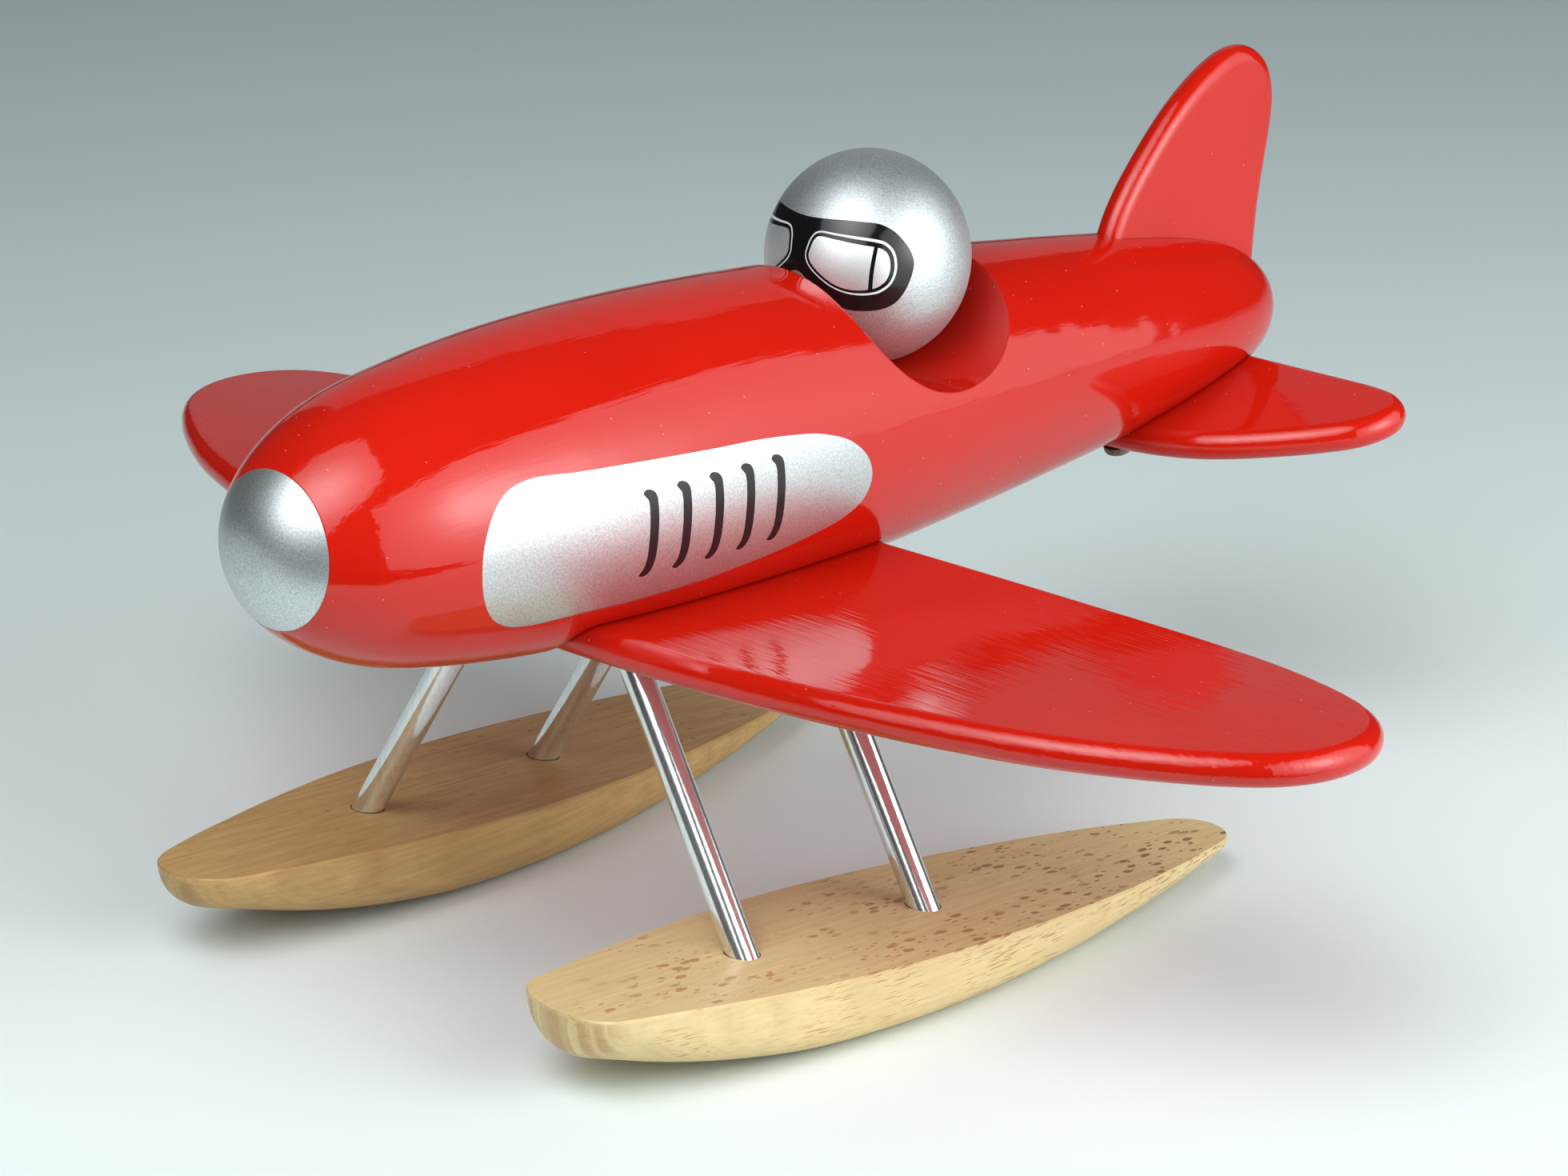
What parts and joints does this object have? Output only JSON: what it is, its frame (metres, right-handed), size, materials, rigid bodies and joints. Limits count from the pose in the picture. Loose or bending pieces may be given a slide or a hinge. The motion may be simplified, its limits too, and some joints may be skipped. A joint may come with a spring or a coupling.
{
  "type": "wooden toy floatplane",
  "caption": "Wooden toy floatplane: turned fuselage with a ball head, plank wing and tail, on floats held by slanted metal rods.",
  "frame": {"origin": "under the middle of the bounding box, on the floor that both floats rest on", "axes": "nose towards -Y, port side towards +X, up +Z"},
  "size_m": [0.306, 0.2654, 0.1386],
  "materials": {
    "red_lacquer_fuselage": "glossy red lacquer over wood",
    "red_lacquer_wing": "glossy red lacquer over wood",
    "red_lacquer_tailplane": "glossy red lacquer over wood",
    "red_lacquer_fin": "glossy red lacquer over wood",
    "silver_paint_nose": "satin silver paint over turned wood",
    "silver_paint_head": "satin silver paint over turned wood",
    "polished_rod": "polished round rod",
    "pale_beech": "pale beech under clear satin varnish",
    "brown_beech": "browner beech under clear satin varnish",
    "dark_screw": "dark browned steel"
  },
  "bodies": {
    "root": {"fuselage": "red_lacquer_fuselage", "nose_cap": "silver_paint_nose", "pilot_head": "silver_paint_head", "wing": "red_lacquer_wing", "tailplane": "red_lacquer_tailplane", "fin": "red_lacquer_fin", "strut_front_port": "polished_rod", "strut_front_starboard": "polished_rod", "strut_rear_port": "polished_rod", "strut_rear_starboard": "polished_rod", "float_port": "pale_beech", "float_starboard": "brown_beech", "tail_screw": "dark_screw"}
  },
  "joints": []
}
